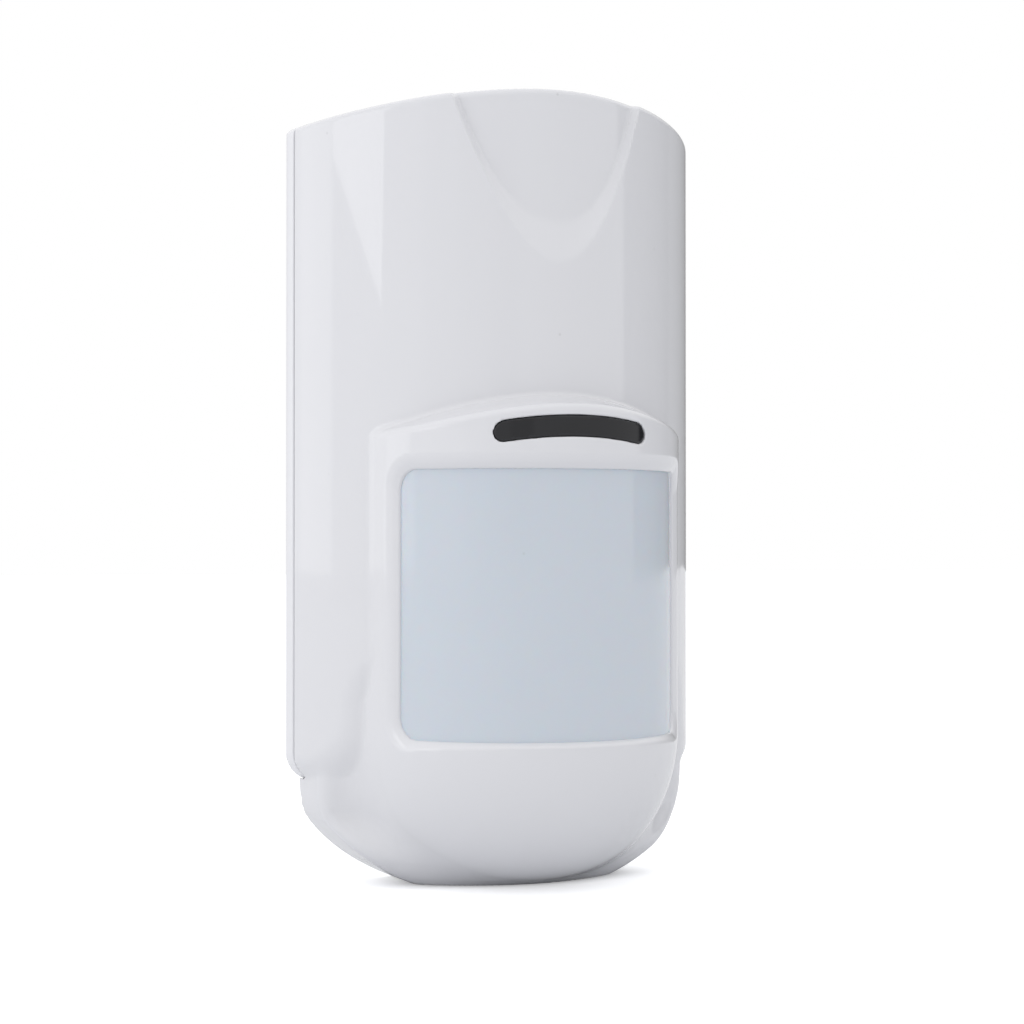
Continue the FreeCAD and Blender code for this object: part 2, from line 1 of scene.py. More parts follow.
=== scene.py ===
# %% [markdown]
# # A motion sensor for the wall
#
# This lesson builds the looks of a passive infrared motion sensor: a glossy white cover with a
# finger scoop and a hood, a milky lens, a smoked window, and the circuit board behind them. The
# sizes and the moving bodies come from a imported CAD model, which is loaded first and never
# changed. Every number below is in millimetres unless a name says otherwise, X runs to the right,
# +Y runs into the wall and +Z is up.

# %% Load the frame
import bpy
import math
import numpy as np
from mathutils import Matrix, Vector


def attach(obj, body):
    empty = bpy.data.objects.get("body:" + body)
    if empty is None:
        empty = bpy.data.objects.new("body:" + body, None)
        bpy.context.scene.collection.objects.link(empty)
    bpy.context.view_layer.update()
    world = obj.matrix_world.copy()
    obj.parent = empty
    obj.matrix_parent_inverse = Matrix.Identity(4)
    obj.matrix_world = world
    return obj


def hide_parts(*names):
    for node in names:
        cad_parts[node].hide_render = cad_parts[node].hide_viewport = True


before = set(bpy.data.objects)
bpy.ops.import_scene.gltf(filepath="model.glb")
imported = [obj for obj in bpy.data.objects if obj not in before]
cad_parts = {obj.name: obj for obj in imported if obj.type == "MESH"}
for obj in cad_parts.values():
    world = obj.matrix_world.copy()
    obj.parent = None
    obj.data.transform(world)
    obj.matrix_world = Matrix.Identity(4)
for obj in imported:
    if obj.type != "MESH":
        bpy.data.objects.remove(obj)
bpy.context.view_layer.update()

# %% [markdown]
# ## Camera
#
# The sensor stands on its own bowl, seen from its front left and level with its middle. A long
# lens from 0.4 m keeps its upright edges upright.

# %% Camera
camera_data = bpy.data.cameras.new("camera")
camera_data.sensor_width = 36
camera_data.lens = 84.45
camera = bpy.data.objects.new("camera", camera_data)
camera.location = (-0.1397, -0.3668, -0.0074)
camera.rotation_euler = (math.radians(90.6), 0, math.radians(-21.39))
bpy.context.scene.collection.objects.link(camera)
bpy.context.scene.camera = camera
bpy.context.scene.view_settings.view_transform = "Standard"
print("camera at", tuple(camera.location))

# %% [markdown]
# ## Nodes without fuss
#
# Materials are made of nodes and links. One small helper adds a node and sets its sockets, so a
# material below reads as a list of what it is made of. A socket given as another socket is linked.

# %% A helper for nodes
def add_node(tree, kind, sockets=None, **settings):
    made = tree.nodes.new(kind)
    for name, value in settings.items():
        setattr(made, name, value)
    for name, value in (sockets or {}).items():
        if isinstance(value, bpy.types.NodeSocket):
            tree.links.new(value, made.inputs[name])
        else:
            made.inputs[name].default_value = value
    return made


print("node helper ready")

# %% [markdown]
# ## Light and floor
#
# A white glossy object has no colour of its own to show: its shape is drawn by what it reflects.
# The studio is a round wall of paper that is bright behind and to the left, even in front and dark
# to the right. Each stretch of the wall becomes one band on the curved cover, with a soft upright
# edge. Higher up the wall turns into an even bright ceiling, which lights the slopes. The camera
# itself sees plain white paper, so the bands light the object only.

# %% Studio wall
# Where each band starts, in degrees, and how bright it is.
wall_bands = [(-180, 1.07), (-146, 0.90), (-130, 0.78), (-114, 0.67), (-98, 0.80), (-15, 0.15), (25, 0.26),
              (70, 0.65), (130, 1.30), (150, 1.69), (172, 1.02)]
ceiling_light = 1.10
brightest = 1.7
edge_share = 1.0 / 360

world = bpy.data.worlds.new("studio")
bpy.context.scene.world = world
world.use_nodes = True
sky = world.node_tree
sky.nodes.clear()
direction = add_node(sky, "ShaderNodeTexCoord").outputs["Generated"]
parts = add_node(sky, "ShaderNodeSeparateXYZ", {0: direction})
turn = add_node(sky, "ShaderNodeMath", {0: parts.outputs["Y"], 1: parts.outputs["X"]}, operation="ARCTAN2")
share = add_node(sky, "ShaderNodeMapRange",
                 {"Value": turn.outputs[0], "From Min": -math.pi, "From Max": math.pi})
bands = add_node(sky, "ShaderNodeValToRGB", {"Fac": share.outputs[0]})
stops = [(0.0, wall_bands[0][1])]
for (_, before), (start, after) in zip(wall_bands, wall_bands[1:]):
    middle = (start + 180) / 360
    stops += [(middle - edge_share, before), (middle + edge_share, after)]
ramp = bands.color_ramp
while len(ramp.elements) < len(stops):
    ramp.elements.new(1.0)
for element, (position, value) in zip(ramp.elements, stops):
    element.position = position
    element.color = (value / brightest,) * 3 + (1,)
overhead = add_node(sky, "ShaderNodeMapRange",
                    {"Value": parts.outputs["Z"], "From Min": 0.22, "From Max": 0.55})
level = add_node(sky, "ShaderNodeMix", {0: overhead.outputs[0], 2: bands.outputs[0],
                                        3: ceiling_light / brightest})
strength = add_node(sky, "ShaderNodeMath", {0: level.outputs[0], 1: brightest}, operation="MULTIPLY")
wrap = add_node(sky, "ShaderNodeBackground", {"Color": (1.0, 1.0, 1.0, 1), "Strength": strength.outputs[0]})
paper = add_node(sky, "ShaderNodeBackground", {"Color": (1, 1, 1, 1), "Strength": 1.0})
seen = add_node(sky, "ShaderNodeLightPath").outputs["Is Camera Ray"]
both = add_node(sky, "ShaderNodeMixShader", {0: seen, 1: wrap.outputs[0], 2: paper.outputs[0]})
add_node(sky, "ShaderNodeOutputWorld", {"Surface": both.outputs[0]})
print("studio wall of", len(wall_bands), "bands")


# %% [markdown]
# One soft box hangs on the left, a little tilted. Its reflection is the bright wedge high on the
# left of the cover.

# %% Soft box
def soft_box(name, azimuth, elevation, distance, width, height, roll, brightness):
    """Area light on the studio wall that faces the object. Angles in degrees, lengths in metres."""
    lamp = bpy.data.lights.new(name, "AREA")
    lamp.shape = "RECTANGLE"
    lamp.size, lamp.size_y = width, height
    lamp.energy = brightness * math.pi * width * height
    a, e = math.radians(azimuth), math.radians(elevation)
    outward = Vector((math.cos(a) * math.cos(e), math.sin(a) * math.cos(e), math.sin(e)))
    made = bpy.data.objects.new(name, lamp)
    made.location = outward * distance
    made.rotation_euler = outward.to_track_quat("Z", "Y").to_euler()
    made.rotation_euler.rotate_axis("Z", math.radians(roll))
    bpy.context.scene.collection.objects.link(made)
    return made


soft_box("left_box", -174, 16.6, 1.5, 0.62, 0.42, -11, 1.2)

# %% [markdown]
# The floor is a white table with a glow that is strong only for the camera, so it looks like paper, and it
# throws back only a little light, so the underside of the bowl falls off to a cool grey. Under the bowl a
# soft ellipse darkens both the glow and the table's colour: a painted contact shadow.

# %% Floor
floor_z = -61.7


def floor_mesh(half, rings):
    """Square sheet whose squares get smaller towards the middle."""
    steps = np.linspace(-1, 1, rings)
    places = np.sign(steps) * np.abs(steps) ** 2 * half
    points = [(x, y, 0) for y in places for x in places]
    faces = [(j * rings + i, j * rings + i + 1, (j + 1) * rings + i + 1, (j + 1) * rings + i)
             for j in range(rings - 1) for i in range(rings - 1)]
    mesh = bpy.data.meshes.new("floor")
    mesh.from_pydata(points, [], faces)
    return mesh


floor = bpy.data.objects.new("floor", floor_mesh(3.0, 17))
floor.location.z = floor_z / 1000
bpy.context.scene.collection.objects.link(floor)
table = bpy.data.materials.new("table_with_painted_shadow")
table.use_nodes = True
tree = table.node_tree
tree.nodes.clear()
place = add_node(tree, "ShaderNodeTexCoord").outputs["Object"]
cloud = add_node(tree, "ShaderNodeTexNoise", {"Vector": place, "Scale": 9.0, "Detail": 3.0})
dulled = add_node(tree, "ShaderNodeMapRange", {"Value": cloud.outputs[0], "To Min": 0.50, "To Max": 0.62})
# Painted contact shadow: a soft ellipse round the bowl's foot, 0 at the foot and 1 away from it.
from_foot = add_node(tree, "ShaderNodeVectorMath", {0: place, 1: (0.0, 0.010, 0.0)}, operation="ADD")
stretched = add_node(tree, "ShaderNodeVectorMath", {0: from_foot.outputs[0], 1: (0.62, 1.55, 1.0)},
                     operation="MULTIPLY")
away = add_node(tree, "ShaderNodeVectorMath", {0: stretched.outputs[0]}, operation="LENGTH")
outside_painted_shadow = add_node(tree, "ShaderNodeMapRange", {"Value": away.outputs["Value"], "From Min": 0.003,
                                            "From Max": 0.017}, interpolation_type="SMOOTHSTEP")
# Painted shadow in the table's colour: darker grey under the bowl, the table's own white away from it.
painted_shadow_colour = add_node(tree, "ShaderNodeMix", {0: outside_painted_shadow.outputs[0], 6: (0.50, 0.51, 0.54, 1),
                                         7: (0.78, 0.79, 0.81, 1)}, data_type="RGBA")
sheet = add_node(tree, "ShaderNodeBsdfPrincipled", {"Base Color": painted_shadow_colour.outputs[2],
                                                    "Roughness": dulled.outputs[0]})
seen = add_node(tree, "ShaderNodeLightPath").outputs["Is Camera Ray"]
power = add_node(tree, "ShaderNodeMapRange", {"Value": seen, "To Min": 0.03, "To Max": 0.52})
# The glow is faded by the same painted contact shadow.
strength = add_node(tree, "ShaderNodeMath", {0: outside_painted_shadow.outputs[0], 1: power.outputs[0]}, operation="MULTIPLY")
glow = add_node(tree, "ShaderNodeEmission", {"Color": (1, 1, 1, 1), "Strength": strength.outputs[0]})
whole = add_node(tree, "ShaderNodeAddShader", {0: sheet.outputs[0], 1: glow.outputs[0]})
add_node(tree, "ShaderNodeOutputMaterial", {"Surface": whole.outputs[0]})
floor.data.materials.append(table)
print("floor at", floor_z, "mm")

# %% [markdown]
# ## Shared effects
#
# Moulded plastic is never one flat value. It has a fine grain from the mould, a slow drift of
# gloss where hands have touched it, and a few specks of dust. Metal has drawn streaks instead.
# Each effect is one node group with named inputs and outputs, built once, and every material uses
# it with its own numbers. The groups give only values; the shader stays in the material.

# %% Group: mould grain
def new_group(name, inputs, outputs):
    group = bpy.data.node_groups.new(name, "ShaderNodeTree")
    for label, kind, value in inputs:
        socket = group.interface.new_socket(name=label, in_out="INPUT", socket_type=kind)
        if value is not None:
            socket.default_value = value
    for label, kind in outputs:
        group.interface.new_socket(name=label, in_out="OUTPUT", socket_type=kind)
    ins = group.nodes.new("NodeGroupInput").outputs
    outs = group.nodes.new("NodeGroupOutput").inputs
    return group, ins, outs


grain, ins, outs = new_group("mould_grain", [("Fineness", "NodeSocketFloat", 900.0)],
                             [("Height", "NodeSocketFloat"), ("Drift", "NodeSocketFloat")])
place = add_node(grain, "ShaderNodeTexCoord").outputs["Object"]
fine = add_node(grain, "ShaderNodeTexNoise", {"Vector": place, "Scale": ins["Fineness"], "Detail": 3.0})
slow = add_node(grain, "ShaderNodeTexNoise", {"Vector": place, "Scale": 45.0, "Detail": 2.0})
grain.links.new(fine.outputs[0], outs["Height"])
grain.links.new(slow.outputs[0], outs["Drift"])
print("mould_grain made")

# %% Group: dust
dust, ins, outs = new_group("dust_specks",
                            [("Cell", "NodeSocketFloat", 260.0), ("Share", "NodeSocketFloat", 0.12)],
                            [("Mask", "NodeSocketFloat")])
place = add_node(dust, "ShaderNodeTexCoord").outputs["Object"]
cells = add_node(dust, "ShaderNodeTexVoronoi", {"Vector": place, "Scale": ins["Cell"]})
near = add_node(dust, "ShaderNodeMapRange", {"Value": cells.outputs["Distance"], "From Min": 0.03,
                                             "From Max": 0.07, "To Min": 1.0, "To Max": 0.0})
pick = add_node(dust, "ShaderNodeSeparateColor", {"Color": cells.outputs["Color"]})
few = add_node(dust, "ShaderNodeMath", {0: pick.outputs[0], 1: ins["Share"]}, operation="LESS_THAN")
mask = add_node(dust, "ShaderNodeMath", {0: near.outputs[0], 1: few.outputs[0]}, operation="MULTIPLY")
dust.links.new(mask.outputs[0], outs["Mask"])
print("dust_specks made")

# %% Group: drawn streaks
streaks, ins, outs = new_group("drawn_streaks", [("Stretch", "NodeSocketVector", (400.0, 400.0, 4000.0))],
                               [("Height", "NodeSocketFloat")])
place = add_node(streaks, "ShaderNodeTexCoord").outputs["Object"]
pulled = add_node(streaks, "ShaderNodeVectorMath", {0: place, 1: ins["Stretch"]}, operation="MULTIPLY")
lines = add_node(streaks, "ShaderNodeTexNoise", {"Vector": pulled.outputs[0], "Scale": 1.0, "Detail": 4.0})
streaks.links.new(lines.outputs[0], outs["Height"])
print("drawn_streaks made")

# %% [markdown]
# ## Plastics and metals
#
# Most pieces are moulded plastic. The recipe is the same each time: a colour that drifts a little,
# a gloss that drifts with it, dust that is greyer and duller, and a bump from the mould's grain.
# What sets one plastic off from another is how glossy it is and how coarse the grain.

# %% Plastic recipe
def new_material(name):
    made = bpy.data.materials.new(name)
    made.use_nodes = True
    made.node_tree.nodes.clear()
    return made, made.node_tree


def group_node(tree, group, sockets=None):
    made = tree.nodes.new("ShaderNodeGroup")
    made.node_tree = group
    for name, value in (sockets or {}).items():
        made.inputs[name].default_value = value
    return made


def mix_colours(tree, share, first, second):
    made = tree.nodes.new("ShaderNodeMix")
    made.data_type = "RGBA"
    tree.links.new(share, made.inputs[0])
    for socket, value in ((made.inputs[6], first), (made.inputs[7], second)):
        if isinstance(value, bpy.types.NodeSocket):
            tree.links.new(value, socket)
        else:
            socket.default_value = (*value, 1)
    return made.outputs[2]


def plastic(name, colour, roughness, fineness=900.0, depth=0.01, dusty=0.12, drift=0.04, **shader_sockets):
    """Moulded plastic. Depth is the bump's strength, and drift how much darker its patches are."""
    material, tree = new_material(name)
    moulded = group_node(tree, grain, {"Fineness": fineness})
    specks = group_node(tree, dust, {"Share": dusty})
    darker = tuple(c * (1 - drift) for c in colour)
    body = mix_colours(tree, moulded.outputs["Drift"], colour, darker)
    dusted = mix_colours(tree, specks.outputs["Mask"], body, tuple(0.72 * c + 0.08 for c in colour))
    gloss = add_node(tree, "ShaderNodeMapRange", {"Value": moulded.outputs["Drift"], "From Min": 0.3,
                                                  "From Max": 0.7, "To Min": roughness * 0.88,
                                                  "To Max": roughness * 1.14})
    dull = add_node(tree, "ShaderNodeMath", {0: specks.outputs["Mask"], 1: 0.35, 2: gloss.outputs[0]},
                    operation="MULTIPLY_ADD")
    bump = add_node(tree, "ShaderNodeBump", {"Height": moulded.outputs["Height"], "Strength": depth,
                                             "Distance": 0.0002})
    shader = add_node(tree, "ShaderNodeBsdfPrincipled", {"Base Color": dusted, "Roughness": dull.outputs[0],
                                                         "Normal": bump.outputs[0]})
    for socket, value in shader_sockets.items():
        shader.inputs[socket.replace("_", " ")].default_value = value
    add_node(tree, "ShaderNodeOutputMaterial", {"Surface": shader.outputs[0]})
    return material


print("plastic recipe ready")


# %% Metal recipe
def metal(name, colour, roughness, stretch=(400.0, 400.0, 4000.0), depth=0.15):
    material, tree = new_material(name)
    drawn = group_node(tree, streaks, {"Stretch": stretch})
    moulded = group_node(tree, grain, {"Fineness": 500.0})
    tone = mix_colours(tree, moulded.outputs["Drift"], colour, tuple(c * 0.82 for c in colour))
    gloss = add_node(tree, "ShaderNodeMapRange", {"Value": drawn.outputs["Height"], "From Min": 0.3,
                                                  "From Max": 0.7, "To Min": roughness * 0.7,
                                                  "To Max": roughness * 1.3})
    bump = add_node(tree, "ShaderNodeBump", {"Height": drawn.outputs["Height"], "Strength": depth,
                                             "Distance": 0.0001})
    shader = add_node(tree, "ShaderNodeBsdfPrincipled", {"Base Color": tone, "Metallic": 1.0,
                                                         "Roughness": gloss.outputs[0],
                                                         "Normal": bump.outputs[0]})
    add_node(tree, "ShaderNodeOutputMaterial", {"Surface": shader.outputs[0]})
    return material


finishes = {
    "cover_plastic": plastic("cover_plastic", (0.742, 0.744, 0.775), 0.05, 700.0, 0.006, 0.05, 0.015,
                             Coat_Weight=0.25, Coat_Roughness=0.02),
    "base_plastic": plastic("base_plastic", (0.80, 0.802, 0.835), 0.16, 1100.0, 0.03, 0.10, 0.02),
    "lens_polyethylene": plastic("lens_polyethylene", (0.63, 0.66, 0.725), 0.07, 500.0, 0.004, 0.04, 0.02,
                                 Subsurface_Weight=0.25, Subsurface_Scale=0.002),
    "smoked_acrylic": plastic("smoked_acrylic", (0.012, 0.012, 0.015), 0.07, 500.0, 0.01, 0.10, 0.4),
    "washer_nylon": plastic("washer_nylon", (0.80, 0.79, 0.74), 0.5, 1400.0, 0.05),
    "guard_rubber": plastic("guard_rubber", (0.035, 0.035, 0.037), 0.75, 1800.0, 0.2),
    "black_plastic": plastic("black_plastic", (0.028, 0.028, 0.03), 0.48, 1500.0, 0.12),
    "led_green": plastic("led_green", (0.05, 0.42, 0.12), 0.12, 400.0, 0.01, Transmission_Weight=0.5),
    "led_red": plastic("led_red", (0.60, 0.03, 0.03), 0.12, 400.0, 0.01, Transmission_Weight=0.5),
    "led_amber": plastic("led_amber", (0.75, 0.33, 0.03), 0.12, 400.0, 0.01, Transmission_Weight=0.5),
    "terminal_plastic": plastic("terminal_plastic", (0.03, 0.27, 0.12), 0.42, 1500.0, 0.1),
    "plunger_plastic": plastic("plunger_plastic", (0.78, 0.78, 0.74), 0.36, 1400.0, 0.05),
    "switch_plastic": plastic("switch_plastic", (0.50, 0.03, 0.03), 0.33, 1400.0, 0.06),
    "lever_plastic": plastic("lever_plastic", (0.84, 0.84, 0.80), 0.36, 1400.0, 0.05),
    "trimmer_plastic": plastic("trimmer_plastic", (0.04, 0.14, 0.42), 0.36, 1400.0, 0.08),
    "relay_plastic": plastic("relay_plastic", (0.74, 0.72, 0.64), 0.30, 1200.0, 0.05),
    "chip_epoxy": plastic("chip_epoxy", (0.03, 0.03, 0.032), 0.55, 2500.0, 0.25),
    "jumper_plastic": plastic("jumper_plastic", (0.03, 0.07, 0.30), 0.40, 1400.0, 0.08),
    "screw_steel": metal("screw_steel", (0.74, 0.74, 0.73), 0.22),
    "can_nickel": metal("can_nickel", (0.72, 0.70, 0.66), 0.26, (4000.0, 400.0, 400.0)),
    "filter_dark": metal("filter_dark", (0.17, 0.15, 0.20), 0.10, (300.0, 300.0, 300.0), 0.02),
    "brass_clamp": metal("brass_clamp", (0.76, 0.58, 0.28), 0.28),
    "spring_steel": metal("spring_steel", (0.66, 0.66, 0.65), 0.24),
    "capacitor_can": metal("capacitor_can", (0.80, 0.80, 0.82), 0.30, (400.0, 4000.0, 400.0)),
    "pad_tin": metal("pad_tin", (0.78, 0.77, 0.74), 0.30, (900.0, 900.0, 900.0)),
}
print("finishes:", len(finishes))

# %% [markdown]
# The circuit board is woven glass in green resist. Two crossed waves give the faint weave that
# shows in the gloss.

# %% Board finish
def board_finish():
    material, tree = new_material("board_green")
    place = add_node(tree, "ShaderNodeTexCoord").outputs["Object"]
    thread = {"Vector": place, "Scale": 520.0, "Distortion": 0.6}
    warp = add_node(tree, "ShaderNodeTexWave", thread, bands_direction="X")
    weft = add_node(tree, "ShaderNodeTexWave", thread, bands_direction="Z")
    weave = add_node(tree, "ShaderNodeMath", {0: warp.outputs["Fac"], 1: weft.outputs["Fac"]},
                     operation="ADD")
    moulded = group_node(tree, grain, {"Fineness": 900.0})
    tone = mix_colours(tree, moulded.outputs["Drift"], (0.012, 0.15, 0.055), (0.02, 0.20, 0.08))
    bump = add_node(tree, "ShaderNodeBump", {"Height": weave.outputs[0], "Strength": 0.12,
                                             "Distance": 0.0001})
    shader = add_node(tree, "ShaderNodeBsdfPrincipled", {"Base Color": tone, "Roughness": 0.32,
                                                         "Normal": bump.outputs[0]})
    add_node(tree, "ShaderNodeOutputMaterial", {"Surface": shader.outputs[0]})
    return material


finishes["board_green"] = board_finish()
finishes["trace_green"] = plastic("trace_green", (0.03, 0.26, 0.10), 0.28, 900.0, 0.04, 0.05, 0.2)
print("board finish made")

# %% [markdown]
# ## From distance to surface
#
# The moulded case has no flat faces to start from: it is an upright shell, a hood that swells out
# of it and a bowl under that. It is simplest to write down how far a point lies outside the
# plastic. Taking the smaller of two such distances joins two forms, taking the larger cuts one by
# the other, and a rounded version of either gives the soft edges that a mould needs. The surface
# is then drawn where the distance is zero.

# %% Distance tools
def round_cut(a, b, radius):
    """What lies in both forms, with a round outer edge."""
    inside = np.minimum(np.maximum(a, b), -radius)
    return inside + np.hypot(np.maximum(a + radius, 0), np.maximum(b + radius, 0))


def soft_join(a, b, reach):
    """Both forms together, with a fillet in the corner between them."""
    near = np.maximum(reach - np.abs(a - b), 0) / reach
    return np.minimum(a, b) - near * near * reach / 4


def block_gap(x, y, z, x0, x1, y0, y1, z0, z1):
    across = np.maximum(x0 - x, x - x1)
    deep = np.maximum(y0 - y, y - y1)
    return np.maximum(np.maximum(across, deep), np.maximum(z0 - z, z - z1))


def panel_gap(x, z, half, z0, z1, corner):
    """Distance outside a rectangle with round corners, seen from the front."""
    across = np.abs(x) - half + corner
    up = np.abs(z - (z0 + z1) / 2) - (z1 - z0) / 2 + corner
    outer = np.hypot(np.maximum(across, 0), np.maximum(up, 0))
    return outer + np.minimum(np.maximum(across, up), 0) - corner


print("distance tools ready")

# %% [markdown]
# The surface is drawn on a fine grid. Each grid cell that the surface crosses gets one point, and
# every grid edge that it crosses gets one face between the four cells round that edge. The points
# are then pulled exactly on to the surface, and the slope of the distance gives each its normal, so
# highlights run smoothly whatever the grid does.

# %% Draw the surface
def slope_of(gap, points, reach):
    slopes = np.empty_like(points)
    for axis in range(3):
        ahead = [points[:, n] + (reach if n == axis else 0) for n in range(3)]
        behind = [points[:, n] - (reach if n == axis else 0) for n in range(3)]
        slopes[:, axis] = (gap(*ahead) - gap(*behind)) / (2 * reach)
    return slopes


def grid_values(gap, low, counts, step):
    x, y, z = (low[n] + step * np.arange(counts[n]) for n in range(3))
    values = np.empty(counts, np.float32)
    for start in range(0, counts[2], 30):
        slab = z[start:start + 30]
        values[:, :, start:start + 30] = gap(x[:, None, None], y[None, :, None], slab[None, None, :])
    return values


def crossing_points(values, cells):
    """Mean place, in grid steps, where the surface crosses the edges of each cell."""
    corners = [(i, j, k) for i in (0, 1) for j in (0, 1) for k in (0, 1)]
    total = np.zeros(cells.shape)
    count = np.zeros((len(cells), 1))
    for first in corners:
        for axis in range(3):
            if first[axis]:
                continue
            second = tuple(1 if n == axis else first[n] for n in range(3))
            a = values[tuple((cells + first).T)].astype(float)
            b = values[tuple((cells + second).T)].astype(float)
            crossed = (a < 0) != (b < 0)
            share = np.where(crossed, a / np.where(crossed, a - b, 1), 0)
            place = np.array(first, float) + share[:, None] * (np.array(second) - np.array(first))
            total += place * crossed[:, None]
            count += crossed[:, None]
    return cells + total / count


def skin(gap, low, high, step):
    """Points, normals and four-sided faces of the surface where gap is zero."""
    counts = tuple(int(math.ceil((high[n] - low[n]) / step)) + 1 for n in range(3))
    values = grid_values(gap, low, counts, step)
    solid = values < 0
    filled = np.zeros(tuple(n - 1 for n in counts), np.int8)
    for i in (0, 1):
        for j in (0, 1):
            for k in (0, 1):
                filled += solid[i:counts[0] - 1 + i, j:counts[1] - 1 + j, k:counts[2] - 1 + k]
    cells = np.argwhere((filled > 0) & (filled < 8))
    number = np.full(filled.shape, -1)
    number[tuple(cells.T)] = np.arange(len(cells))
    points = np.array(low) + step * crossing_points(values, cells)
    faces = []
    for axis in range(3):
        one, two = (axis + 1) % 3, (axis + 2) % 3
        here = [slice(1, n - 1) for n in counts]
        here[axis] = slice(0, counts[axis] - 1)
        there = list(here)
        there[axis] = slice(1, counts[axis])
        change = solid[tuple(here)] != solid[tuple(there)]
        edge = np.argwhere(change) + [0 if n == axis else 1 for n in range(3)]
        back_one, back_two = np.eye(3, dtype=int)[one], np.eye(3, dtype=int)[two]
        ring = [number[tuple((edge - a - b).T)]
                for a, b in ((0, 0), (back_one, 0), (back_one, back_two), (0, back_two))]
        quad = np.stack(ring, 1)
        outward = solid[tuple(edge.T)]
        faces.append(np.where(outward[:, None], quad, quad[:, ::-1]))
    for _ in range(4):
        slopes = slope_of(gap, points, step * 0.1)
        move = -(gap(*points.T) / np.maximum((slopes ** 2).sum(1), 0.05))[:, None] * slopes
        points += np.clip(move, -step * 0.5, step * 0.5)
    normals = slope_of(gap, points, step * 0.1)
    normals /= np.maximum(np.linalg.norm(normals, axis=1), 1e-9)[:, None]
    return points, normals, np.concatenate(faces)


def make_mesh(name, points, faces, normals=None):
    """Smooth mesh in metres from points in millimetres and faces that have the same corner count."""
    mesh = bpy.data.meshes.new(name)
    corners = faces.shape[1]
    mesh.vertices.add(len(points))
    mesh.vertices.foreach_set("co", (points / 1000).astype(np.float32).ravel())
    mesh.loops.add(faces.size)
    mesh.loops.foreach_set("vertex_index", faces.astype(np.int32).ravel())
    mesh.polygons.add(len(faces))
    mesh.polygons.foreach_set("loop_start", np.arange(0, faces.size, corners, dtype=np.int32))
    mesh.polygons.foreach_set("use_smooth", np.ones(len(faces), bool))
    mesh.update(calc_edges=True)
    mesh.validate()
    if normals is not None:
        mesh.normals_split_custom_set_from_vertices(normals.astype(np.float32))
    return mesh


def add_piece(name, mesh, body, slot, finish=None, stands_for=()):
    """Puts a mesh in the scene on a body, with a finish, in place of CAD nodes if any are given."""
    made = bpy.data.objects.new(name, mesh)
    bpy.context.scene.collection.objects.link(made)
    made.data.materials.append(finishes[finish or slot])
    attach(made, body)
    if stands_for:
        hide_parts(*stands_for)
    return made


def mould(name, gap, low, high, step, body, slot, stands_for=()):
    points, normals, faces = skin(gap, low, high, step)
    made = add_piece(name, make_mesh(name, points, faces, normals), body, slot, None, stands_for)
    print(name, "has", len(points), "points and", len(faces), "faces")
    return made


grid_step = 0.36

# %% [markdown]
# ## The case's own shape
#
# Seen from above the case is a half egg, which one power on each axis describes. The top edge is
# a shallow arch. The lower end of the body tucks back to the wall in a quarter round.

# %% Body
half_width, body_depth = 34.5, 30.0
side_power, front_power = 1.85, 1.44
top_z, top_fall = 61.0, 0.00342
body_end_z, tuck_radius = -45.8, 11.0


def plan_gap(x, y, inset):
    across, depth = half_width - inset, body_depth - inset
    u = np.abs(x) / across
    v = np.maximum(-y, 0) / depth
    steep = np.hypot(side_power / across * u ** (side_power - 1),
                     front_power / depth * v ** (front_power - 1))
    return (u ** side_power + v ** front_power - 1) / np.maximum(steep, 0.02)


def top_gap(x, z, inset):
    return (z - (top_z - inset - top_fall * x * x)) / np.sqrt(1 + (2 * top_fall * x) ** 2)


def end_gap(y, z, inset):
    """Round tuck at the lower end, drawn in side view. It fades out upwards, behind the hood."""
    turn, level = -5.0 - inset, body_end_z + tuck_radius + inset
    fade = np.clip((z + 14.0) / (level + 14.0), 0, 1)
    fade = fade * fade * (3 - 2 * fade)
    return np.hypot(np.maximum(turn - y, 0) * fade, np.maximum(level - z, 0)) - tuck_radius


def scoop_depth(x, z):
    """Finger recess: a sloped band between two U-shaped lines, then an even floor."""
    side = np.abs(x)
    outer = 34.4 + 0.130 * side ** 1.92
    inner = 40.8 + 0.0401 * side ** 2.3
    share = (z - outer) / np.maximum(inner - outer, 0.8)
    soft = 0.045
    ramp = soft * np.logaddexp(0, share / soft) - soft * np.logaddexp(0, (share - 1) / soft)
    return 1.25 * ramp


def body_gap(x, y, z, inset):
    side = plan_gap(x, y, inset) + scoop_depth(x, z)
    low = round_cut(side, end_gap(y, z, inset), 4.5 - 0.5 * inset)
    return round_cut(low, top_gap(x, z, inset), 0.9)


def rim_gap(x, y, z, inset):
    """Outline of the strip behind the seam, which the base fills."""
    low = round_cut(plan_gap(x, y, inset), body_end_z + inset - z, 4.5 - 0.5 * inset)
    return round_cut(low, top_gap(x, z, inset), 0.9)


print("body at its front:", round(float(body_gap(0.0, -body_depth, 0.0, 0)), 3), "mm outside")

# %% [markdown]
# The hood is half a drum that closes into a bowl below. Behind the bowl a flange widens towards
# the wall, and a deep fillet blends the two. The hood's roof slopes down a little towards the
# front, and the lens sits in a dished frame.

# %% Hood, bowl and flange
hood_radius, hood_axis_y = 26.1, -11.1
lens_along, lens_top, lens_bottom, lens_corner = 28.7, 2.8, -38.0, 3.4
lens_radius = 25.2


def drum_gap(x, y, z, inset):
    radius = hood_radius - inset
    reach = np.where(y < hood_axis_y, np.hypot(x, y - hood_axis_y), np.abs(x))
    fall = np.maximum(-34.0 - z, 0) / (27.6 - inset)
    return radius * (((reach / radius) ** 2.5 + fall ** 2.5) ** 0.4 - 1)


